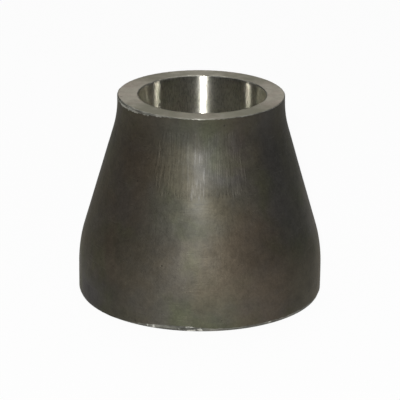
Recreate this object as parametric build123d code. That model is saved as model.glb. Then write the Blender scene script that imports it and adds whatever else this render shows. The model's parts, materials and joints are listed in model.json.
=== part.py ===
from build123d import *
from math import atan2, hypot, tan
import os

# A forged concentric butt weld reducer for thick-walled steel pipe, in millimetres.
# It stands on its large end: the origin is the centre of the large end face, and
# +Z points up the pipe axis to the small end.

# Large end: 168.3 mm pipe with an 18.26 mm wall
large_outer_diameter = 168.3
large_wall = 18.26

# Small end: 114.3 mm pipe with a 13.49 mm wall
small_outer_diameter = 114.3
small_wall = 13.49

# From end face to end face
length = 140.0

# Skin: how far in from its end each straight stretch would meet the cone if the
# bend between them were sharp, and the radius that the bend really has
large_skin_straight = 33.0
shoulder_radius = 96.0
small_skin_straight = 14.5
neck_radius = 72.0

# Bore: the same for the lands turned in from both ends and the cone between them
large_bore_straight = 24.0
large_bore_bend_radius = 70.0
small_bore_straight = 36.0
small_bore_bend_radius = 45.0

# The bore is turned after forging and runs out from the skin, towards +X
bore_runout = 0.8

# The end faces are sawn square, and their sharp corners are broken. At the large end
# the outer corner is ground further back, more up the skin than in along the face.
small_edge_break = 0.5
large_edge_break_height = 2.0
large_edge_break_depth = 0.8
bore_edge_break = 0.6


def tapered_side(large_radius, small_radius, large_straight, small_straight, bend_radii):
    """Side of a tapered round body: straight, bend, cone, bend, straight.

    Each bend is as large as asked, unless the runs on its two sides are too short.
    """
    cone_height = length - large_straight - small_straight
    cone_spread = large_radius - small_radius
    half_turn = atan2(cone_spread, cone_height) / 2
    half_cone = hypot(cone_spread, cone_height) / 2
    room = [min(straight, half_cone) for straight in (large_straight, small_straight)]
    radii = [min(wanted, 0.95 * run / tan(half_turn)) for wanted, run in zip(bend_radii, room)]
    corners = [
        (large_radius, 0, 0),
        (large_radius, 0, large_straight),
        (small_radius, 0, length - small_straight),
        (small_radius, 0, length),
    ]
    return FilletPolyline(*corners, radius=radii)


def turned_body(side):
    """Solid that a side sweeps out as it turns about the Z axis."""
    outline = side + Polyline(side @ 1, (0, 0, length), (0, 0, 0), side @ 0)
    return revolve(make_face(outline), Axis.Z)


def skin():
    """Outside of the forging, as a solid with no bore."""
    side = tapered_side(
        large_outer_diameter / 2,
        small_outer_diameter / 2,
        large_skin_straight,
        small_skin_straight,
        (shoulder_radius, neck_radius),
    )
    return turned_body(side)


def bore():
    """The passage, as the solid that would fill it from face to face."""
    side = tapered_side(
        large_outer_diameter / 2 - large_wall,
        small_outer_diameter / 2 - small_wall,
        large_bore_straight,
        small_bore_straight,
        (large_bore_bend_radius, small_bore_bend_radius),
    )
    return Pos(bore_runout, 0, 0) * turned_body(side)


def end_rims(body, place):
    """One rim of each end face: place 0 is the bore's edge, and place -1 the skin's."""
    circles = body.edges().filter_by(GeomType.CIRCLE).group_by(Axis.Z)
    return [end.sort_by(SortBy.RADIUS)[place] for end in (circles[0], circles[-1])]


def reducer():
    """The whole fitting, which is one forging."""
    body = skin() - bore()
    body = chamfer(end_rims(body, 0), bore_edge_break)
    body = chamfer(end_rims(body, -1)[1], small_edge_break)
    large_rim = end_rims(body, -1)[0]
    large_face = body.faces().sort_by(Axis.Z)[0]
    return chamfer(large_rim, large_edge_break_depth, large_edge_break_height, reference=large_face)


os.makedirs("parts", exist_ok=True)
export_step(reducer(), "parts/reducer.step")
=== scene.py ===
import json
from math import atan2, cos, pi, radians, sin, tan

import bpy
import numpy as np
from bpy.props import FloatProperty, FloatVectorProperty, IntProperty, PointerProperty
from mathutils import Matrix, Vector


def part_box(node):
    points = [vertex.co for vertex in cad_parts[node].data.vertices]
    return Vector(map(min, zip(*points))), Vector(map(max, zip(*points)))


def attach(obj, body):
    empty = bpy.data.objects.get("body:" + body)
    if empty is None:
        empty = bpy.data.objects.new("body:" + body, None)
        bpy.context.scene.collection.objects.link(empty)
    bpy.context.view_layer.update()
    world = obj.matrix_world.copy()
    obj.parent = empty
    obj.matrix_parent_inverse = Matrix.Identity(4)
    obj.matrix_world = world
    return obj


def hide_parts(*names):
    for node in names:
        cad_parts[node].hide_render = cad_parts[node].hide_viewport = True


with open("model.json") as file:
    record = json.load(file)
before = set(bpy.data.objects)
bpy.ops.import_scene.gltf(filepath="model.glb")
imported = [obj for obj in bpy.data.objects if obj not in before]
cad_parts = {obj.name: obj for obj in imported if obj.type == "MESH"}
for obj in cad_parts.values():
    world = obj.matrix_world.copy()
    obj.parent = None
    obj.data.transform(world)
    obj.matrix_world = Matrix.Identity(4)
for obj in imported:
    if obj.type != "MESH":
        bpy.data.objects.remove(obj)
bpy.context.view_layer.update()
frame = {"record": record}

bl_info = {
    "name": "Butt Weld Reducer",
    "version": (1, 0, 0),
    "blender": (4, 5, 0),
    "location": "3D View > Sidebar > Reducer",
    "description": "Builds a forged concentric butt weld reducer and a plain stage for it",
    "category": "Add Mesh",
}

NODE = "reducer"
BODY = "root"
MOUNTS = {mount["name"]: mount for mount in frame["record"]["mounts"]}
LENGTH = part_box(NODE)[1].z
MM = 0.001

# Regions of the wall's surface, which are also its material slots
SKIN, FACE, CORNER, BORE = range(4)

# Grid steps along each bend and each cone of the half section
BEND_STEPS = 15
CONE_STEPS = 32

# How far from an end face the wear of the rim, the wear of the foot and the waves of
# the skin fade out, and how far the end faces' corners are felt
RIM_FADE = 6 * MM
FOOT_FADE = 10 * MM
WAVE_FADE = 8 * MM
CORNER_REACH = 3 * MM

# Radius at which the marks that run round the fitting have their stated spacing
MARK_RADIUS = 60 * MM

# Panel of the skin that was rubbed bright: its left border, its right border, its
# lower end and its upper end, each from where it starts to fade to where it is gone
PANEL_SIDES = (238, 248, 290, 300)
PANEL_ENDS = (84, 96, 122, 134)

# Factors of the scale's colour where it is greener, browner, bluer and yellower
GREENER = (0.965, 1.025, 1.0, 1)
BROWNER = (1.04, 0.98, 0.975, 1)
BLUER = (0.98, 0.99, 1.12, 1)
YELLOWER = (1.02, 1.01, 0.88, 1)

# Soft patches of the scale, in the rows that soft_patches reads. Paler and darker ones, partly the scale's
# own tone and partly painted light: the rows near 270 degrees, the side that faces the camera and the front
# lamp, are painted highlight and painted shade that brighten and dim the lamp's highlight, and the pale
# rows near 184 and 354 degrees, low on the two silhouettes, are painted reflection:
TONES_AND_PAINTED_LIGHT = (
    (-0.18, 270, 400, 114, 126, 150, 160),
    (0.16, 268, 36, 84, 98, 116, 130),
    (-0.25, 271, 10, 100, 108, 118, 126),
    (-0.15, 272, 12, 40, 46, 54, 60),
    (0.32, 269, 46, -2, -1, 24, 56),
    (-0.20, 222, 28, -2, -1, 22, 40),
    (-0.18, 338, 32, 4, 14, 130, 150),
    (-0.10, 318, 16, -2, -1, 30, 44),
    (0.12, 300, 18, 50, 70, 110, 124),
    (0.45, 184, 18, -2, -1, 30, 60),
    (0.60, 354, 20, -2, -1, 60, 96),
)
# Browner and greener ones:
WARMTHS = (
    (1.0, 216, 40, 50, 76, 150, 160),
    (1.2, 300, 26, -2, -1, 60, 84),
    (-0.9, 264, 36, 54, 72, 132, 142),
    (-1.0, 272, 30, -2, -1, 16, 30),
    (-0.5, 334, 30, -2, -1, 130, 150),
    (0.9, 292, 18, 96, 108, 150, 160),
    (0.9, 216, 20, 18, 28, 54, 66),
)
# Yellower and bluer ones:
YELLOWS = (
    (1.1, 212, 44, 112, 126, 150, 160),
    (-0.9, 284, 24, 92, 102, 120, 134),
    (-0.8, 320, 14, 44, 58, 140, 150),
    (0.4, 196, 30, 24, 34, 106, 120),
    (-0.8, 206, 18, -2, -1, 10, 22),
)
# Painted glints on the worn corners, in rows of the same kind: painted highlight on the small end's corner
# and painted reflection on the large end's, on the side that faces the camera and the front lamp
PAINTED_GLINTS = (
    (1.0, 269, 9, 120, 130, 150, 160),
    (1.0, 265, 9, -2, -1, 8, 12),
)


def mount_radius(name):
    """Radius of a round mount, in metres."""
    return MOUNTS[name]["dims"]["r_mm"] * MM


class ReducerSizes(bpy.types.PropertyGroup):
    """Sizes of the fitting"""

    length: FloatProperty(
        name="Length", description="From end face to end face", default=LENGTH, unit="LENGTH")
    large_skin_radius: FloatProperty(
        name="Large end radius", description="Radius of the skin at the large end",
        default=mount_radius("large_end_skin"), unit="LENGTH")
    small_skin_radius: FloatProperty(
        name="Small end radius", description="Radius of the skin at the small end",
        default=mount_radius("small_end_skin"), unit="LENGTH")
    large_bore_radius: FloatProperty(
        name="Large bore radius", description="Radius of the bore at the large end",
        default=mount_radius("large_end_bore"), unit="LENGTH")
    small_bore_radius: FloatProperty(
        name="Small bore radius", description="Radius of the bore at the small end",
        default=mount_radius("small_end_bore"), unit="LENGTH")
    bore_runout: FloatProperty(
        name="Bore run-out", description="Distance of the bore's axis from the skin's, towards +X",
        default=MOUNTS["small_end_bore"]["pos_m"][0], unit="LENGTH")
    large_skin_straight: FloatProperty(
        name="Large skin straight", description="From the large end face to the corner of the skin's cone",
        default=33 * MM, unit="LENGTH")
    small_skin_straight: FloatProperty(
        name="Small skin straight", description="From the small end face to the corner of the skin's cone",
        default=14.5 * MM, unit="LENGTH")
    shoulder_radius: FloatProperty(
        name="Shoulder radius", description="Radius of the skin's outward bend",
        default=96 * MM, unit="LENGTH")
    neck_radius: FloatProperty(
        name="Neck radius", description="Radius of the skin's inward bend",
        default=72 * MM, unit="LENGTH")
    large_bore_straight: FloatProperty(
        name="Large bore straight", description="From the large end face to the corner of the bore's cone",
        default=24 * MM, unit="LENGTH")
    small_bore_straight: FloatProperty(
        name="Small bore straight", description="From the small end face to the corner of the bore's cone",
        default=36 * MM, unit="LENGTH")
    large_bore_bend: FloatProperty(
        name="Large bore bend", description="Radius of the bore's bend near the large end",
        default=70 * MM, unit="LENGTH")
    small_bore_bend: FloatProperty(
        name="Small bore bend", description="Radius of the bore's bend near the small end",
        default=45 * MM, unit="LENGTH")
    small_edge_break: FloatProperty(
        name="Small edge break", description="Width of the broken outer corner at the small end",
        default=0.5 * MM, unit="LENGTH")
    large_edge_height: FloatProperty(
        name="Large edge height", description="Height of the ground outer corner at the large end",
        default=2 * MM, unit="LENGTH")
    large_edge_depth: FloatProperty(
        name="Large edge depth", description="Depth of that corner, measured in along the end face",
        default=0.8 * MM, unit="LENGTH")
    bore_edge_break: FloatProperty(
        name="Bore edge break", description="Width of the broken corner between bore and end face",
        default=0.6 * MM, unit="LENGTH")
    around: IntProperty(
        name="Steps around", description="Grid steps in one turn about the axis", default=560, min=32)


class ReducerWear(bpy.types.PropertyGroup):
    """What forging, sawing and handling left on the fitting"""

    forging_swell: FloatProperty(
        name="Forging swell", description="Height of the long waves that the dies left in the skin",
        default=0.10 * MM, unit="LENGTH")
    dimples: FloatProperty(
        name="Dimples", description="Height of the short waves in the skin",
        default=0.012 * MM, unit="LENGTH")
    scraped_height: FloatProperty(
        name="Scraped height", description="Height of the scraped stretch of the small end's outer corner",
        default=1.9 * MM, unit="LENGTH")
    scraped_depth: FloatProperty(
        name="Scraped depth", description="Depth of that stretch, measured in along the end face",
        default=0.8 * MM, unit="LENGTH")
    scraped_middle: FloatProperty(
        name="Scraped middle", description="Direction of its middle about the axis, from +X",
        default=radians(212), unit="ROTATION")
    scraped_span: FloatProperty(
        name="Scraped span", description="Half of the angle that it takes up",
        default=radians(44), unit="ROTATION")
    ragged: FloatProperty(
        name="Ragged corners", description="How far the corners wander in and out",
        default=0.16 * MM, unit="LENGTH")
    ground_rise: FloatProperty(
        name="Ground rise", description="How much higher the large end's corner is ground in one stretch",
        default=1.7 * MM, unit="LENGTH")
    ground_middle: FloatProperty(
        name="Ground middle", description="Direction of the middle of that stretch, from +X",
        default=radians(259), unit="ROTATION")
    ground_span: FloatProperty(
        name="Ground span", description="Half of the angle that this stretch takes up",
        default=radians(22), unit="ROTATION")
    spared_drop: FloatProperty(
        name="Spared drop", description="How much lower that corner is where the grinder hardly touched it",
        default=1.5 * MM, unit="LENGTH")
    spared_middle: FloatProperty(
        name="Spared middle", description="Direction of the middle of the spared stretch, from +X",
        default=radians(222), unit="ROTATION")
    spared_span: FloatProperty(
        name="Spared span", description="Half of the angle that the spared stretch takes up",
        default=radians(34), unit="ROTATION")


class ReducerFinish(bpy.types.PropertyGroup):
    """Colours of the surfaces"""

    scale_grey: FloatVectorProperty(
        name="Scale grey", description="Commonest colour of the forging scale",
        default=(0.082, 0.075, 0.062), subtype="COLOR")
    scale_brown: FloatVectorProperty(
        name="Scale brown", description="Brown patches of the forging scale",
        default=(0.091, 0.078, 0.057), subtype="COLOR")
    scale_olive: FloatVectorProperty(
        name="Scale olive", description="Olive patches of the forging scale",
        default=(0.080, 0.078, 0.052), subtype="COLOR")
    scale_pit: FloatVectorProperty(
        name="Scale pit", description="Pits in the forging scale",
        default=(0.02, 0.02, 0.018), subtype="COLOR")
    scale_fringe: FloatVectorProperty(
        name="Scale fringe", description="Scale worn through beside the corners of the end faces",
        default=(0.2, 0.185, 0.15), subtype="COLOR")
    sawn_steel: FloatVectorProperty(
        name="Sawn steel", description="Bare steel of the end faces",
        default=(0.43, 0.402, 0.335), subtype="COLOR")
    sawn_tarnish: FloatVectorProperty(
        name="Sawn tarnish", description="Tarnished patches of the end faces",
        default=(0.415, 0.362, 0.308), subtype="COLOR")
    # Darker, greenish colour for the sawn faces: partly dulled steel and partly painted shade
    sawn_dull_and_shade: FloatVectorProperty(
        name="Sawn dull", description="Dulled, greenish patches of the end faces",
        default=(0.25, 0.24, 0.185), subtype="COLOR")
    sawn_speck: FloatVectorProperty(
        name="Sawn speck", description="Dark specks of the end faces",
        default=(0.09, 0.085, 0.07), subtype="COLOR")
    corner_steel: FloatVectorProperty(
        name="Corner steel", description="Commonest colour of the worn corners",
        default=(0.19, 0.19, 0.165), subtype="COLOR")
    corner_pale: FloatVectorProperty(
        name="Corner pale", description="Pale patches of the worn corners",
        default=(0.25, 0.24, 0.21), subtype="COLOR")
    corner_dark: FloatVectorProperty(
        name="Corner dark", description="Dark patches of the worn corners",
        default=(0.14, 0.135, 0.115), subtype="COLOR")
    # Bared steel, put on the worn corners as specks that are partly bare steel and partly painted glints
    corner_bare_and_painted_glint: FloatVectorProperty(
        name="Corner bright", description="Freshly bared steel that glints on the worn corners",
        default=(0.65, 0.64, 0.58), subtype="COLOR")
    turned_steel: FloatVectorProperty(
        name="Turned steel", description="Steel of the turned bore",
        default=(0.78, 0.765, 0.69), subtype="COLOR")
    turned_brown: FloatVectorProperty(
        name="Turned brown", description="Brown tarnish of the bore",
        default=(0.74, 0.70, 0.625), subtype="COLOR")
    turned_olive: FloatVectorProperty(
        name="Turned olive", description="Olive tarnish of the bore",
        default=(0.71, 0.705, 0.595), subtype="COLOR")
    turned_fleck: FloatVectorProperty(
        name="Turned fleck", description="Dark flecks of the bore",
        default=(0.3, 0.29, 0.25), subtype="COLOR")


class StageSettings(bpy.types.PropertyGroup):
    """Camera, lamps and floor"""

    camera_distance: FloatProperty(
        name="Camera distance", description="From the camera to the point that it looks at",
        default=1.568, unit="LENGTH")
    camera_elevation: FloatProperty(
        name="Camera elevation", description="Angle by which the camera looks down",
        default=radians(19.64), unit="ROTATION")
    camera_roll: FloatProperty(
        name="Camera roll", description="Turn of the camera about its line of sight",
        default=radians(0.455), unit="ROTATION")
    camera_aim: FloatVectorProperty(
        name="Camera aim", description="Point that the camera looks at",
        default=(-0.19 * MM, 0.0, 63.18 * MM), subtype="TRANSLATION", unit="LENGTH")
    lens: FloatProperty(
        name="Lens", description="Focal length on a 36 mm wide sensor",
        default=204.07, min=1.0, unit="CAMERA")
    front_level: FloatProperty(
        name="Front lamp", description="Level of the small lamp above the camera", default=0.95, min=0.0)
    top_level: FloatProperty(
        name="Top lamp", description="Level of the large soft lamp overhead", default=0.35, min=0.0)
    floor_glow: FloatProperty(
        name="Floor glow",
        description="Share of plain white in what the camera and reflections see of the floor",
        default=0.95, min=0.0, max=1.0, subtype="FACTOR")
    surround: FloatProperty(
        name="Surround", description="Brightness of the room", default=0.05, min=0.0)


def waves(angle, along, turns, pitch, count, seed):
    """Smooth random heights over a closed band, about -1 to 1.

    It is the sum of cosines cos(k a + m s + p) over the root of twice their count,
    with random phases p. The whole numbers k, up to turns, let it close on itself,
    and m is up to one wave for each pitch along s.
    """
    draw = np.random.default_rng(seed)
    rounds = draw.integers(-turns, turns + 1, count)
    rates = draw.uniform(-1, 1, count) * 2 * pi / pitch
    phases = draw.uniform(0, 2 * pi, count)
    total = np.zeros(np.broadcast_shapes(np.shape(angle), np.shape(along)))
    for wave in range(count):
        total = total + np.cos(rounds[wave] * angle + rates[wave] * along + phases[wave])
    return total / (2.0 * count) ** 0.5


def ease(share):
    """A share u that runs from 0 to 1, with smooth ends: u u (3 - 2 u)."""
    return share * share * (3 - 2 * share)


def hump(angle, middle, half_span):
    """Smooth hump about one direction: 1 at its middle and 0 past its span.

    It eases the share 1 - |angle from the middle| / half span.
    """
    offset = (angle - middle + pi) % (2 * pi) - pi
    return ease(np.clip(1 - np.abs(offset) / half_span, 0, 1))


def line(start, end, count):
    """Points start + (end - start) t for count even steps of t, without the last point."""
    share = np.arange(count) / count
    return np.outer(start, 1 - share) + np.outer(end, share)


def tapered_side(radii, straights, bends, length):
    """Side of a tapered round body as three runs of (radius, height): bend, cone, bend.

    The corners are (R, 0), (R, a), (r, H - b) and (r, H), and the two inner ones are
    rounded by arcs tangent to the lines beside them. With the cone at angle t to the
    axis, an arc of radius B starts B tan(t/2) before its corner and turns through t.
    """
    wide, narrow = radii
    turn = atan2(wide - narrow, length - sum(straights))
    swing = np.linspace(0, turn, BEND_STEPS)
    back = swing[::-1]
    wide_start = straights[0] - bends[0] * tan(turn / 2)
    narrow_end = length - straights[1] + bends[1] * tan(turn / 2)
    wide_arc = np.stack([wide - bends[0] * (1 - np.cos(swing)), wide_start + bends[0] * np.sin(swing)])
    narrow_arc = np.stack([narrow + bends[1] * (1 - np.cos(back)), narrow_end - bends[1] * np.sin(back)])
    cone = line(wide_arc[:, -1], narrow_arc[:, 0], CONE_STEPS)[:, 1:]
    return wide_arc, cone, narrow_arc


def half_section(s):
    """The wall's closed half section: radius, height, share of run-out, and region.

    It goes out along the large end face, up the skin, in along the small end face
    and down the bore. The share of the bore's run-out is 0 on the skin, 1 on the
    bore, and even steps between them across an end face.
    """
    skin = tapered_side((s.large_skin_radius, s.small_skin_radius),
                        (s.large_skin_straight, s.small_skin_straight),
                        (s.shoulder_radius, s.neck_radius), s.length)
    bore = tapered_side((s.large_bore_radius, s.small_bore_radius),
                        (s.large_bore_straight, s.small_bore_straight),
                        (s.large_bore_bend, s.small_bore_bend), s.length)
    corner, lip, top = s.small_edge_break, s.bore_edge_break, s.length
    foot_bore = (s.large_bore_radius + lip, 0)
    foot_skin = (s.large_skin_radius - s.large_edge_depth, 0)
    low_skin = (s.large_skin_radius, s.large_edge_height)
    high_skin = (s.small_skin_radius, top - corner)
    head_skin = (s.small_skin_radius - corner, top)
    head_bore = (s.small_bore_radius + lip, top)
    high_bore = (s.small_bore_radius, top - lip)
    low_bore = (s.large_bore_radius, lip)
    # Each run's points, a line being given its steps, then its region and the share
    # of the run-out at its two ends
    runs = [
        (line(foot_bore, foot_skin, 6), FACE, (1, 0)),
        (line(foot_skin, low_skin, 4), CORNER, (0, 0)),
        (line(low_skin, skin[0][:, 0], 8), SKIN, (0, 0)),
        (np.hstack(skin), SKIN, (0, 0)),
        (line(skin[2][:, -1], high_skin, 8)[:, 1:], SKIN, (0, 0)),
        (line(high_skin, head_skin, 3), CORNER, (0, 0)),
        (line(head_skin, head_bore, 12), FACE, (0, 1)),
        (line(head_bore, high_bore, 2), CORNER, (1, 1)),
        (line(high_bore, bore[2][:, -1], 8), BORE, (1, 1)),
        (np.hstack(bore)[:, ::-1], BORE, (1, 1)),
        (line(bore[0][:, 0], low_bore, 5)[:, 1:], BORE, (1, 1)),
        (line(low_bore, foot_bore, 2), CORNER, (1, 1)),
    ]
    points = np.hstack([points for points, _, _ in runs])
    region = np.hstack([[kind] * points.shape[1] for points, kind, _ in runs])
    share = np.hstack([line([ends[0]], [ends[1]], points.shape[1])[0] for points, _, ends in runs])
    return points[0], points[1], share, region


def wear_rim(radius, height, angle, s, wear):
    """Pull the small end's outer corner down the skin and in along its end face.

    Each pull is noise times the raggedness, and over the scraped stretch a hump of
    the scraped size times (1 + noise) besides. It grows linearly along the last few
    millimetres of the skin and across the end face, so that the points stay on the
    surfaces that they lie in. Outward, it is at most about half the corner's width.
    """
    scraped = hump(angle, wear.scraped_middle, wear.scraped_span)
    chips = waves(angle, 0.0, turns=150, pitch=1.0, count=40, seed=11)
    chips = chips + 0.6 * waves(angle, 0.0, turns=40, pitch=1.0, count=16, seed=12)
    down = scraped * wear.scraped_height * (1 + 0.25 * chips) + wear.ragged * chips * (1 - 0.5 * scraped)
    chips = waves(angle, 0.0, turns=90, pitch=1.0, count=30, seed=13)
    inward = scraped * wear.scraped_depth * (1 + 0.15 * chips) + 0.6 * wear.ragged * chips
    corner = s.small_edge_break
    start = s.length - RIM_FADE
    fade = np.clip((height - start) / (s.length - corner - start), 0, 1)
    on_skin = (radius > s.small_skin_radius - corner / 2) & (height > start)
    top_share = np.clip((height - (s.length - corner)) / corner, 0, 1)
    height = height - np.where(on_skin, np.maximum(down, -0.6 * corner) * fade * (1 - top_share), 0)
    wall = s.small_skin_radius - corner - s.small_bore_radius - s.bore_edge_break
    across = np.clip((radius - s.small_bore_radius - s.bore_edge_break) / wall, 0, 1)
    at_top = height > s.length - 0.01 * MM
    radius = radius - np.where(at_top, np.maximum(inward, -0.5 * corner) * across, 0)
    return radius, height


def grind_foot(radius, height, angle, s, wear):
    """Move the top of the large end's outer corner up or down the skin.

    The move is a hump up, a hump down and noise times the raggedness. It is full at
    the corner's top and fades linearly to nothing at the end face and FOOT_FADE above.
    """
    chips = waves(angle, 0.0, turns=120, pitch=1.0, count=40, seed=14)
    chips = chips + waves(angle, 0.0, turns=30, pitch=1.0, count=16, seed=15)
    move = wear.ground_rise * hump(angle, wear.ground_middle, wear.ground_span)
    move = move - wear.spared_drop * hump(angle, wear.spared_middle, wear.spared_span)
    least_height = 0.4 * MM
    move = np.maximum(move + wear.ragged * chips, least_height - s.large_edge_height)
    fade = np.interp(height, [0, s.large_edge_height, FOOT_FADE], [0, 1, 0])
    outside = radius > s.large_skin_radius - 2 * s.large_edge_depth
    return height + np.where(outside, move * fade, 0)


def skin_relief(angle, height, s, wear):
    """Height of the skin over its true form: long waves and short ones, none at the ends.

    It is the swell times the long waves and the dimples times the short ones, and
    fades linearly to nothing over the last WAVE_FADE before each end face.
    """
    long_waves = waves(angle, height, turns=5, pitch=60 * MM, count=24, seed=21)
    long_waves = long_waves + 0.35 * waves(angle, height, turns=16, pitch=20 * MM, count=30, seed=22)
    short_waves = waves(angle, height, turns=64, pitch=7 * MM, count=60, seed=23)
    fade = np.clip(height / WAVE_FADE, 0, 1) * np.clip((s.length - height) / WAVE_FADE, 0, 1)
    return fade * (wear.forging_swell * long_waves + wear.dimples * short_waves)


def wall_grid(s, wear):
    """The wall as one closed grid of points: x = c + r cos a, y = r sin a, z = h.

    (r, h) runs round the half section, a goes once about the axis, and c is the
    station's share of the bore's run-out. The skin's radius also carries its relief.
    """
    radius, height, share, region = half_section(s)
    angle = np.linspace(0, 2 * pi, s.around, endpoint=False)
    radius = np.repeat(radius[:, None], s.around, axis=1)
    height = np.repeat(height[:, None], s.around, axis=1)
    radius, height = wear_rim(radius, height, angle[None, :], s, wear)
    height = grind_foot(radius, height, angle[None, :], s, wear)
    relief = skin_relief(angle[None, :], height, s, wear)
    radius = radius + np.where(region[:, None] == SKIN, relief, 0)
    x = s.bore_runout * share[:, None] + radius * np.cos(angle)
    y = radius * np.sin(angle)
    return np.stack([x, y, height], axis=-1), region


def edge_closeness(s, points, region):
    """How close each point lies to a skin corner of an end face: 1 on it, 0 far off.

    It is exp(-distance / CORNER_REACH). The distance is one of height on the skin and
    one of radius on an end face.
    """
    height = points[..., 2]
    radius = np.hypot(points[..., 0], points[..., 1])
    skin = np.minimum(height, s.length - height)
    face = np.where(height > s.length / 2, s.small_skin_radius, s.large_skin_radius) - radius
    distance = np.where(region[:, None] == FACE, face, skin)
    distance = np.where(region[:, None] == BORE, 1.0, distance)
    return np.exp(-np.maximum(distance, 0) / CORNER_REACH)


def soft_patches(points, rows):
    """Sum over its rows of weight times hump(angle) times a band of height with smooth ends.

    A row is the weight, the hump's middle and half width in degrees, and the heights
    where the band starts, is full, ends being full and stops, in mm.
    """
    angle = np.arctan2(points[..., 1], points[..., 0])
    height = points[..., 2] / MM
    total = np.zeros(height.shape)
    for weight, middle, span, start, full, last, stop in rows:
        band = ease(np.interp(height, [start, full, last, stop], [0, 1, 1, 0]))
        total = total + weight * hump(angle, radians(middle), radians(span)) * band
    return total


def rubbed_panel(points):
    """Where the skin was rubbed bright: one trapezoid of angle times one of height."""
    angle = np.degrees(np.arctan2(points[..., 1], points[..., 0])) % 360
    across = np.interp(angle, PANEL_SIDES, [0, 1, 1, 0])
    return across * np.interp(points[..., 2] / MM, PANEL_ENDS, [0, 1, 1, 0])


def dulled_and_shaded_patches(points):
    """How dulled and shaded the sawn faces are, for angle a: 0.5 - 0.3 cos 4a - 0.28 cos 2a - 0.08 sin a.
    It is partly painted shade, darker where the face's marks catch less light round the ring.
    """
    angle = np.arctan2(points[..., 1], points[..., 0])
    return 0.5 - 0.3 * np.cos(4 * angle) - 0.28 * np.cos(2 * angle) - 0.08 * np.sin(angle)


def grid_object(name, points, region, materials):
    """Object whose mesh is a grid that closes on itself both ways."""
    rows, columns = points.shape[:2]
    here = np.arange(rows * columns).reshape(rows, columns)
    along = np.roll(here, -1, axis=1)
    quads = np.stack([here, along, np.roll(along, -1, axis=0), np.roll(here, -1, axis=0)], axis=-1)
    mesh = bpy.data.meshes.new(name)
    mesh.vertices.add(here.size)
    mesh.vertices.foreach_set("co", points.reshape(-1))
    mesh.loops.add(quads.size)
    mesh.loops.foreach_set("vertex_index", quads.reshape(-1))
    mesh.polygons.add(here.size)
    mesh.polygons.foreach_set("loop_start", np.arange(0, quads.size, 4))
    for material in materials:
        mesh.materials.append(material)
    mesh.polygons.foreach_set("material_index", np.repeat(region, columns))
    mesh.polygons.foreach_set("use_smooth", np.ones(here.size, bool))
    mesh.update(calc_edges=True)
    mesh.validate()
    item = bpy.data.objects.new(name, mesh)
    bpy.context.scene.collection.objects.link(item)
    return item


def add_attribute(item, name, values):
    """Give the mesh one number per point, for its materials to read."""
    layer = item.data.attributes.new(name, "FLOAT", "POINT")
    layer.data.foreach_set("value", np.ascontiguousarray(values, np.float32).reshape(-1))


class Sheet:
    """One node tree, to which nodes are added with their inputs filled in."""

    def __init__(self, tree):
        self.tree = tree

    def fill(self, node, inputs):
        """Fill in a node's inputs. Each is a value, or an output socket to link to it."""
        for key, value in dict(inputs).items():
            if isinstance(value, bpy.types.NodeSocket):
                self.tree.links.new(value, node.inputs[key])
            else:
                node.inputs[key].default_value = value

    def add(self, kind, inputs=(), **settings):
        """Add a node with its settings and inputs."""
        node = self.tree.nodes.new("ShaderNode" + kind)
        for key, value in settings.items():
            setattr(node, key, value)
        self.fill(node, inputs)
        return node

    def group(self, tree, **inputs):
        """First output of a node group placed here with its named inputs."""
        return self.add("Group", inputs, node_tree=tree).outputs[0]

    def math(self, operation, *values):
        """Output of a Math node."""
        return self.add("Math", dict(enumerate(values)), operation=operation).outputs[0]

    def total(self, *terms):
        """Sum of value times weight over pairs of them."""
        sums = [self.math("MULTIPLY", value, weight) for value, weight in terms]
        result = sums[0]
        for term in sums[1:]:
            result = self.math("ADD", result, term)
        return result

    def remap(self, value, low, high, to_low=0.0, to_high=1.0):
        """Value moved smoothly from one range to another and kept inside it."""
        inputs = {"Value": value, "From Min": low, "From Max": high, "To Min": to_low, "To Max": to_high}
        return self.add("MapRange", inputs, interpolation_type="SMOOTHSTEP").outputs["Result"]

    def blend(self, share, first, second):
        """Colour blended from first to second."""
        inputs = {"Factor": share, 6: first, 7: second}
        return self.add("Mix", inputs, data_type="RGBA", clamp_factor=True).outputs[2]

    def shade(self, colour, level):
        """Colour times a value."""
        return self.add("VectorMath", {0: colour, "Scale": level}, operation="SCALE").outputs[0]

    def attribute(self, name):
        """Value of one of the mesh's attributes."""
        return self.add("Attribute", attribute_name=name).outputs["Fac"]

    def noise(self, vector, scale, detail=3.0, roughness=0.5, distortion=0.0):
        """Value of a noise pattern."""
        inputs = {"Vector": vector, "Scale": scale, "Detail": detail, "Roughness": roughness,
                  "Distortion": distortion}
        return self.add("TexNoise", inputs).outputs["Fac"]


def new_group(name, inputs, output):
    """New node group: its Sheet, its inputs, and a function that links its one output."""
    tree = bpy.data.node_groups.new(name, "ShaderNodeTree")
    kinds = {"vector": "NodeSocketVector", "value": "NodeSocketFloat", "colour": "NodeSocketColor"}
    for socket, kind in inputs.items():
        tree.interface.new_socket(socket, in_out="INPUT", socket_type=kinds[kind])
    tree.interface.new_socket(output[0], in_out="OUTPUT", socket_type=kinds[output[1]])
    given = tree.nodes.new("NodeGroupInput").outputs
    out = tree.nodes.new("NodeGroupOutput")
    return Sheet(tree), given, lambda result: tree.links.new(result, out.inputs[0])


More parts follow.
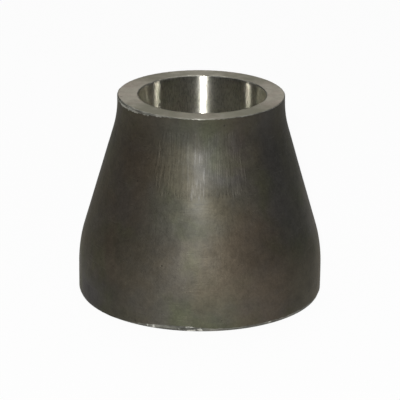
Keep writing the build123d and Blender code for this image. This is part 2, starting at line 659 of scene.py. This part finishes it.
def marks_group():
    """Marks that run round the fitting or up it, as noise on the arc and the height.

    The noise reads (x / r, y / r) times MARK_RADIUS and Around, and the height times
    Along, so each is about the number of marks met in one metre that way.
    """
    names = {"Vector": "vector", "Around": "value", "Along": "value"}
    sheet, given, finish = new_group("marks", names, ("Value", "value"))
    parts = sheet.add("SeparateXYZ", {0: given["Vector"]}).outputs
    flat = sheet.add("CombineXYZ", {"X": parts["X"], "Y": parts["Y"]}).outputs[0]
    ring = sheet.add("VectorMath", {0: flat}, operation="NORMALIZE").outputs[0]
    reach = sheet.math("MULTIPLY", given["Around"], MARK_RADIUS)
    arc = sheet.add("VectorMath", {0: ring, "Scale": reach}, operation="SCALE").outputs[0]
    rise = sheet.add("CombineXYZ", {"Z": sheet.math("MULTIPLY", parts["Z"], given["Along"])}).outputs[0]
    vector = sheet.add("VectorMath", {0: arc, 1: rise}, operation="ADD").outputs[0]
    finish(sheet.noise(vector, 1.0, 2.0, 0.6))
    return sheet.tree


def patches_group():
    """Three colours that run softly into each other, mottled lighter and darker."""
    names = {"Vector": "vector", "Scale": "value", "Main": "colour", "Second": "colour", "Third": "colour",
             "Lean": "value", "Mottle": "value"}
    sheet, given, finish = new_group("patches", names, ("Color", "colour"))
    first = sheet.noise(given["Vector"], given["Scale"], 4.0, 0.6, 0.3)
    first = sheet.math("ADD", first, given["Lean"])
    moved = sheet.add("VectorMath", {0: given["Vector"], 1: (0.37, 0.11, 0.23)}, operation="ADD").outputs[0]
    second = sheet.noise(moved, sheet.math("MULTIPLY", given["Scale"], 1.4), 4.0, 0.6, 0.3)
    colour = sheet.blend(sheet.remap(second, 0.42, 0.66), given["Main"], given["Third"])
    colour = sheet.blend(sheet.remap(first, 0.42, 0.66), colour, given["Second"])
    middling = sheet.math("SUBTRACT", sheet.noise(given["Vector"], 150.0, 4.0, 0.6), 0.5)
    fine = sheet.math("SUBTRACT", sheet.noise(given["Vector"], 600.0, 2.0, 0.6), 0.5)
    level = sheet.math("MULTIPLY", sheet.total((middling, 1.3), (fine, 0.6)), given["Mottle"])
    finish(sheet.shade(colour, sheet.math("ADD", level, 1.0)))
    return sheet.tree


def spots_group():
    """Sparse round spots with soft edges: 1 inside a spot and 0 elsewhere."""
    names = {"Vector": "vector", "Scale": "value", "Size": "value"}
    sheet, given, finish = new_group("spots", names, ("Mask", "value"))
    cells = sheet.add("TexVoronoi", {"Vector": given["Vector"], "Scale": given["Scale"], "Randomness": 1.0})
    chosen = sheet.add("SeparateColor", {0: cells.outputs["Color"]}).outputs[0]
    size = sheet.math("MULTIPLY", given["Size"], sheet.remap(chosen, 0.45, 1.0))
    near = sheet.math("SUBTRACT", size, cells.outputs["Distance"])
    finish(sheet.remap(near, 0.0, 0.06))
    return sheet.tree


def corner_wear_group():
    """Ragged wear that eats in from the end faces' corners."""
    names = {"Closeness": "value", "Vector": "vector", "Reach": "value"}
    sheet, given, finish = new_group("corner_wear", names, ("Mask", "value"))
    ragged = sheet.math("SUBTRACT", sheet.noise(given["Vector"], 330.0, 3.0, 0.65), 0.5)
    level = sheet.total((given["Closeness"], 1.0), (ragged, 0.5), (given["Reach"], 1.0))
    finish(sheet.remap(level, 0.96, 1.06))
    return sheet.tree


def grain_group():
    """Fine even noise, which is the grain of a surface and the unevenness of a colour."""
    sheet, given, finish = new_group("grain", {"Vector": "vector", "Scale": "value"}, ("Value", "value"))
    finish(sheet.noise(given["Vector"], given["Scale"], 3.0, 0.6))
    return sheet.tree


def start_material(name):
    """New material: its Sheet, its Principled BSDF and its object coordinates."""
    material = bpy.data.materials.new(name)
    material.use_nodes = True
    sheet = Sheet(material.node_tree)
    shader = material.node_tree.nodes["Principled BSDF"]
    return material, sheet, shader, sheet.add("TexCoord").outputs["Object"]


def bump(sheet, height, strength, distance):
    """Normal of a surface raised by a height."""
    return sheet.add("Bump", {"Height": height, "Strength": strength, "Distance": distance}).outputs[0]


def tint(colour):
    """Colour property as a shader colour."""
    return (*colour, 1.0)


def cast(sheet, colour, name, low, high):
    """Colour times a factor, blended from low to high as the named attribute goes from -1 to 1."""
    factor = sheet.blend(sheet.remap(sheet.attribute(name), -1.0, 1.0), low, high)
    return sheet.add("VectorMath", {0: colour, 1: factor}, operation="MULTIPLY").outputs[0]


def forging_scale(groups, finish):
    """Dark scale on the skin: soft brown and olive patches, drawn marks, grain and pits, with paler and
    darker patches that are partly painted highlight, painted shade and painted reflection.
    """
    material, sheet, shader, place = start_material("forging_scale")
    height = sheet.add("SeparateXYZ", {0: place}).outputs["Z"]
    colour = sheet.group(groups["patches"], Vector=place, Scale=18.0, Mottle=0.5,
                         Lean=sheet.remap(height, 0.0, LENGTH, 0.04, -0.04),
                         Main=tint(finish.scale_grey), Second=tint(finish.scale_brown),
                         Third=tint(finish.scale_olive))
    # Paler and darker by the first table of soft patches: partly the scale's own tone, partly painted
    # highlight, painted shade and painted reflection
    colour = sheet.shade(colour, sheet.math("ADD", sheet.attribute("tone_and_painted_light"), 1.0))
    colour = cast(sheet, colour, "warmth", GREENER, BROWNER)
    colour = cast(sheet, colour, "yellow", BLUER, YELLOWER)
    pits = sheet.group(groups["spots"], Vector=place, Scale=120.0, Size=0.12)
    colour = sheet.blend(sheet.math("MULTIPLY", pits, 0.5), colour, tint(finish.scale_pit))
    worn = sheet.group(groups["wear"], Closeness=sheet.attribute("closeness"), Vector=place, Reach=0.1)
    colour = sheet.blend(sheet.math("MULTIPLY", worn, 0.45), colour, tint(finish.scale_fringe))
    marks = sheet.group(groups["marks"], Vector=place, Around=700.0, Along=60.0)
    rubbed = sheet.remap(sheet.math("ADD", sheet.attribute("rubbed"), marks), 0.8, 1.15)
    shine = sheet.math("MULTIPLY", sheet.remap(marks, 0.52, 0.66), rubbed)
    scratches = sheet.group(groups["marks"], Vector=place, Around=70.0, Along=800.0)
    scratches = sheet.remap(scratches, 0.60, 0.72)
    grain = sheet.group(groups["grain"], Vector=place, Scale=800.0)
    uneven = sheet.group(groups["grain"], Vector=place, Scale=260.0)
    marks_height = sheet.math("MULTIPLY", marks, sheet.remap(rubbed, 0.0, 1.0, 0.4, 2.0))
    relief = sheet.total((marks_height, 1.0), (grain, 0.4), (uneven, 1.6), (pits, -0.8), (scratches, -0.5))
    cloud = sheet.remap(sheet.noise(place, 55.0, 4.0, 0.6), 0.3, 0.7, 0.58, 0.66)
    sheen = sheet.total((shine, 0.08), (rubbed, 0.012), (scratches, 0.03))
    sheet.fill(shader, {
        "Base Color": colour, "Metallic": 1.0,
        "Roughness": sheet.math("ADD", cloud, sheet.math("MULTIPLY", rubbed, 0.03)),
        "Specular Tint": (0.6, 0.6, 0.6, 1), "Coat IOR": 2.2, "Coat Roughness": 0.3,
        "Coat Weight": sheet.math("ADD", sheen, 0.04),
        "Normal": bump(sheet, relief, 0.35, 0.35 * MM)})
    return material


def sawn_face(groups, finish):
    """Bare steel of the end faces, dulled in patches and darkened in turns round the ring by painted shade.
    """
    material, sheet, shader, place = start_material("sawn_face")
    colour = sheet.group(groups["patches"], Vector=place, Scale=55.0, Lean=0.0, Mottle=0.45,
                         Main=tint(finish.sawn_steel), Second=tint(finish.sawn_tarnish),
                         Third=tint(finish.sawn_steel))
    specks = sheet.group(groups["spots"], Vector=place, Scale=130.0, Size=0.16)
    colour = sheet.blend(sheet.math("MULTIPLY", specks, 0.35), colour, tint(finish.sawn_speck))
    uneven = sheet.math("SUBTRACT", sheet.group(groups["grain"], Vector=place, Scale=130.0), 0.5)
    # Dulled and darkened in turns round the ring: partly dulled steel, partly painted shade where the
    # face's marks catch less light
    dulled_and_shaded = sheet.remap(sheet.math("ADD", sheet.attribute("dulled_and_shaded"), uneven), 0.1, 1.0)
    colour = sheet.blend(dulled_and_shaded, colour, tint(finish.sawn_dull_and_shade))
    grain = sheet.group(groups["grain"], Vector=place, Scale=900.0)
    sheet.fill(shader, {"Base Color": colour, "Metallic": 0.55, "Roughness": 0.7,
                        "Normal": bump(sheet, grain, 0.2, 0.3 * MM)})
    return material


def worn_corner(groups, finish):
    """Scraped and ground corners of the end faces: patches, scratches, bared steel and painted glints, with
    painted shade towards the large end and painted light towards the small end.
    """
    material, sheet, shader, place = start_material("worn_corner")
    colour = sheet.group(groups["patches"], Vector=place, Scale=90.0, Lean=0.0, Mottle=0.5,
                         Main=tint(finish.corner_steel), Second=tint(finish.corner_pale),
                         Third=tint(finish.corner_dark))
    scratches = sheet.group(groups["marks"], Vector=place, Around=80.0, Along=1400.0)
    colour = sheet.shade(colour, sheet.remap(scratches, 0.3, 0.75, 0.6, 1.8))
    # Darker towards the large end and lighter towards the small end: painted shade and painted light that
    # even out what the two corners reflect
    height = sheet.add("SeparateXYZ", {0: place}).outputs["Z"]
    colour = sheet.shade(colour, sheet.remap(height, 0.0, LENGTH, 0.7, 1.35))
    # Specks of bared steel, partly real and partly painted glints, most of them on the near side of each
    # corner
    bright = sheet.total((sheet.noise(place, 160.0, 2.0, 0.5), 1.0), (sheet.attribute("painted_glint"), 0.18))
    bright = sheet.math("MULTIPLY", sheet.remap(bright, 0.66, 0.72), sheet.remap(scratches, 0.45, 0.55))
    colour = sheet.blend(bright, colour, tint(finish.corner_bare_and_painted_glint))
    grain = sheet.group(groups["grain"], Vector=place, Scale=900.0)
    sheet.fill(shader, {"Base Color": colour, "Metallic": 0.8, "Roughness": 0.5,
                        "Specular Tint": (0.5, 0.5, 0.5, 1), "Normal": bump(sheet, grain, 0.3, 0.3 * MM)})
    return material


def turned_bore(groups, finish):
    """Satin turned steel with streaks and flecks of tarnish.

    The turning marks run round the bore, so each reflection spreads into a band
    that runs down it: the shader is anisotropic about the Z axis.
    """
    material, sheet, shader, place = start_material("turned_bore")
    colour = sheet.group(groups["patches"], Vector=place, Scale=45.0, Lean=0.0, Mottle=0.12,
                         Main=tint(finish.turned_steel), Second=tint(finish.turned_brown),
                         Third=tint(finish.turned_olive))
    streaks = sheet.group(groups["marks"], Vector=place, Around=1000.0, Along=350.0)
    colour = sheet.shade(colour, sheet.remap(streaks, 0.35, 0.6, 0.76, 1.08))
    flecks = sheet.group(groups["spots"], Vector=place, Scale=260.0, Size=0.2)
    colour = sheet.blend(sheet.math("MULTIPLY", flecks, 0.5), colour, tint(finish.turned_fleck))
    sheet.fill(shader, {
        "Base Color": colour, "Metallic": 1.0,
        "Roughness": sheet.remap(sheet.noise(place, 500.0, 2.0, 0.6), 0.35, 0.65, 0.278, 0.32),
        "Anisotropic": 1.0, "Anisotropic Rotation": 0.25,
        "Tangent": sheet.add("Tangent", direction_type="RADIAL", axis="Z").outputs[0],
        "Normal": bump(sheet, streaks, 1.0, 0.01 * MM)})
    return material


class REDUCER_OT_body(bpy.types.Operator):
    """Build the forging with its sawn ends and turned bore, over its CAD solid"""

    bl_idname = "reducer.body"
    bl_label = "Reducer body"

    def execute(self, context):
        sizes = context.scene.reducer_sizes
        finish = context.scene.reducer_finish
        groups = {"marks": marks_group(), "patches": patches_group(), "spots": spots_group(),
                  "wear": corner_wear_group(), "grain": grain_group()}
        makers = {SKIN: forging_scale, FACE: sawn_face, CORNER: worn_corner, BORE: turned_bore}
        materials = [makers[kind](groups, finish) for kind in sorted(makers)]
        points, region = wall_grid(sizes, context.scene.reducer_wear)
        body = grid_object("reducer_body", points, region, materials)
        add_attribute(body, "closeness", edge_closeness(sizes, points, region))
        add_attribute(body, "rubbed", rubbed_panel(points))
        # How dull and how shaded the sawn faces are, partly painted shade
        add_attribute(body, "dulled_and_shaded", dulled_and_shaded_patches(points))
        # The first table is partly painted highlight, shade and reflection, and the last one is painted
        # glints
        for name, rows in (("tone_and_painted_light", TONES_AND_PAINTED_LIGHT), ("warmth", WARMTHS), ("yellow", YELLOWS), ("painted_glint", PAINTED_GLINTS)):
            add_attribute(body, name, soft_patches(points, rows))
        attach(body, BODY)
        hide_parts(NODE)
        return {"FINISHED"}


def add_camera(settings):
    """Camera straight in front of the fitting, looking down on it."""
    camera = bpy.data.cameras.new("camera")
    camera.lens = settings.lens
    camera.sensor_width = 36
    camera.clip_end = 20
    item = bpy.data.objects.new("camera", camera)
    bpy.context.scene.collection.objects.link(item)
    down = settings.camera_elevation
    way = Vector((0, -cos(down), sin(down)))
    item.location = Vector(settings.camera_aim) + settings.camera_distance * way
    turn = Matrix.Rotation(pi / 2 - down, 4, "X") @ Matrix.Rotation(settings.camera_roll, 4, "Z")
    item.rotation_euler = turn.to_euler()
    bpy.context.scene.camera = item


def add_lamp(name, azimuth, elevation, distance, size, level):
    """Round soft lamp aimed at the fitting, placed by direction and distance.

    Azimuth 0 is the camera's side. At level 1 a white surface that faces the lamp
    renders as 1: the power is then pi squared times the distance squared.
    """
    aim = Vector((0, 0, LENGTH / 2))
    side, up = radians(azimuth), radians(elevation)
    way = Vector((sin(side) * cos(up), -cos(side) * cos(up), sin(up)))
    lamp = bpy.data.lights.new(name, "AREA")
    lamp.shape = "DISK"
    lamp.size = size
    lamp.energy = level * pi ** 2 * distance ** 2
    item = bpy.data.objects.new(name, lamp)
    item.location = aim + distance * way
    item.rotation_euler = way.to_track_quat("Z", "Y").to_euler()
    bpy.context.scene.collection.objects.link(item)


def floor_material(glow, footprint):
    """White floor. The camera and reflections see it mostly as plain white.

    The rest of what they see is a lit white surface, which holds the shadow. Under
    the fitting, within the footprint's radius, only that surface is left, and from
    below it is clear there, so that the fitting's underside can be looked at.
    """
    material = bpy.data.materials.new("white_floor")
    material.use_nodes = True
    sheet = Sheet(material.node_tree)
    sheet.tree.nodes.clear()
    path = sheet.add("LightPath").outputs
    seen = sheet.math("MAXIMUM", path["Is Camera Ray"], path["Is Glossy Ray"])
    seen = sheet.math("MAXIMUM", seen, path["Is Transmission Ray"])
    place = sheet.add("TexCoord").outputs["Object"]
    radius = sheet.add("VectorMath", {0: place}, operation="LENGTH").outputs["Value"]
    soft_border = 10 * MM
    open_floor = sheet.remap(radius, footprint - soft_border, footprint, 0.0, glow)
    paper = sheet.add("BsdfDiffuse", {"Color": (0.85, 0.85, 0.85, 1)}).outputs[0]
    white = sheet.add("Emission", {"Color": (1, 1, 1, 1), "Strength": 1.0}).outputs[0]
    glowing = sheet.math("MULTIPLY", seen, open_floor)
    surface = sheet.add("MixShader", {0: glowing, 1: paper, 2: white}).outputs[0]
    below = sheet.add("NewGeometry").outputs["Backfacing"]
    opening = sheet.math("MULTIPLY", below, sheet.math("LESS_THAN", radius, footprint))
    clear = sheet.add("BsdfTransparent").outputs[0]
    surface = sheet.add("MixShader", {0: opening, 1: surface, 2: clear}).outputs[0]
    sheet.add("OutputMaterial", {"Surface": surface})
    return material


class REDUCER_OT_stage(bpy.types.Operator):
    """Set the camera, lamps, surround and floor"""

    bl_idname = "reducer.stage"
    bl_label = "Stage"

    def execute(self, context):
        scene = context.scene
        settings = scene.reducer_stage
        scene.view_settings.view_transform = "Standard"
        add_camera(settings)
        add_lamp("front_lamp", azimuth=-2.0, elevation=22.0, distance=1.75, size=0.05,
                 level=settings.front_level)
        add_lamp("top_lamp", azimuth=180.0, elevation=72.0, distance=1.6, size=0.9,
                 level=settings.top_level)
        world = bpy.data.worlds.new("surround")
        world.use_nodes = True
        level = settings.surround
        world.node_tree.nodes["Background"].inputs["Color"].default_value = (level, level, level, 1)
        scene.world = world
        reach = 4.0
        top = -0.1 * MM
        corners = [(x * reach, y * reach, top) for x, y in ((-1, -1), (1, -1), (1, 1), (-1, 1))]
        mesh = bpy.data.meshes.new("floor")
        mesh.from_pydata(corners, [], [(0, 1, 2, 3)])
        mesh.materials.append(floor_material(settings.floor_glow, scene.reducer_sizes.large_skin_radius))
        floor = bpy.data.objects.new("floor", mesh)
        scene.collection.objects.link(floor)
        return {"FINISHED"}


class REDUCER_PT_panel(bpy.types.Panel):
    """The fitting and its stage"""

    bl_label = "Reducer"
    bl_space_type = "VIEW_3D"
    bl_region_type = "UI"
    bl_category = "Reducer"

    def draw(self, context):
        for operator in (REDUCER_OT_body, REDUCER_OT_stage):
            self.layout.operator(operator.bl_idname)


SETTINGS = {"reducer_sizes": ReducerSizes, "reducer_wear": ReducerWear,
            "reducer_finish": ReducerFinish, "reducer_stage": StageSettings}
CLASSES = (*SETTINGS.values(), REDUCER_OT_body, REDUCER_OT_stage, REDUCER_PT_panel)


def register():
    for item in CLASSES:
        bpy.utils.register_class(item)
    for name, group in SETTINGS.items():
        setattr(bpy.types.Scene, name, PointerProperty(type=group))


def unregister():
    for name in SETTINGS:
        delattr(bpy.types.Scene, name)
    for item in reversed(CLASSES):
        bpy.utils.unregister_class(item)


def main():
    register()
    bpy.ops.reducer.body()
    bpy.ops.reducer.stage()


if __name__ == "__main__":
    main()
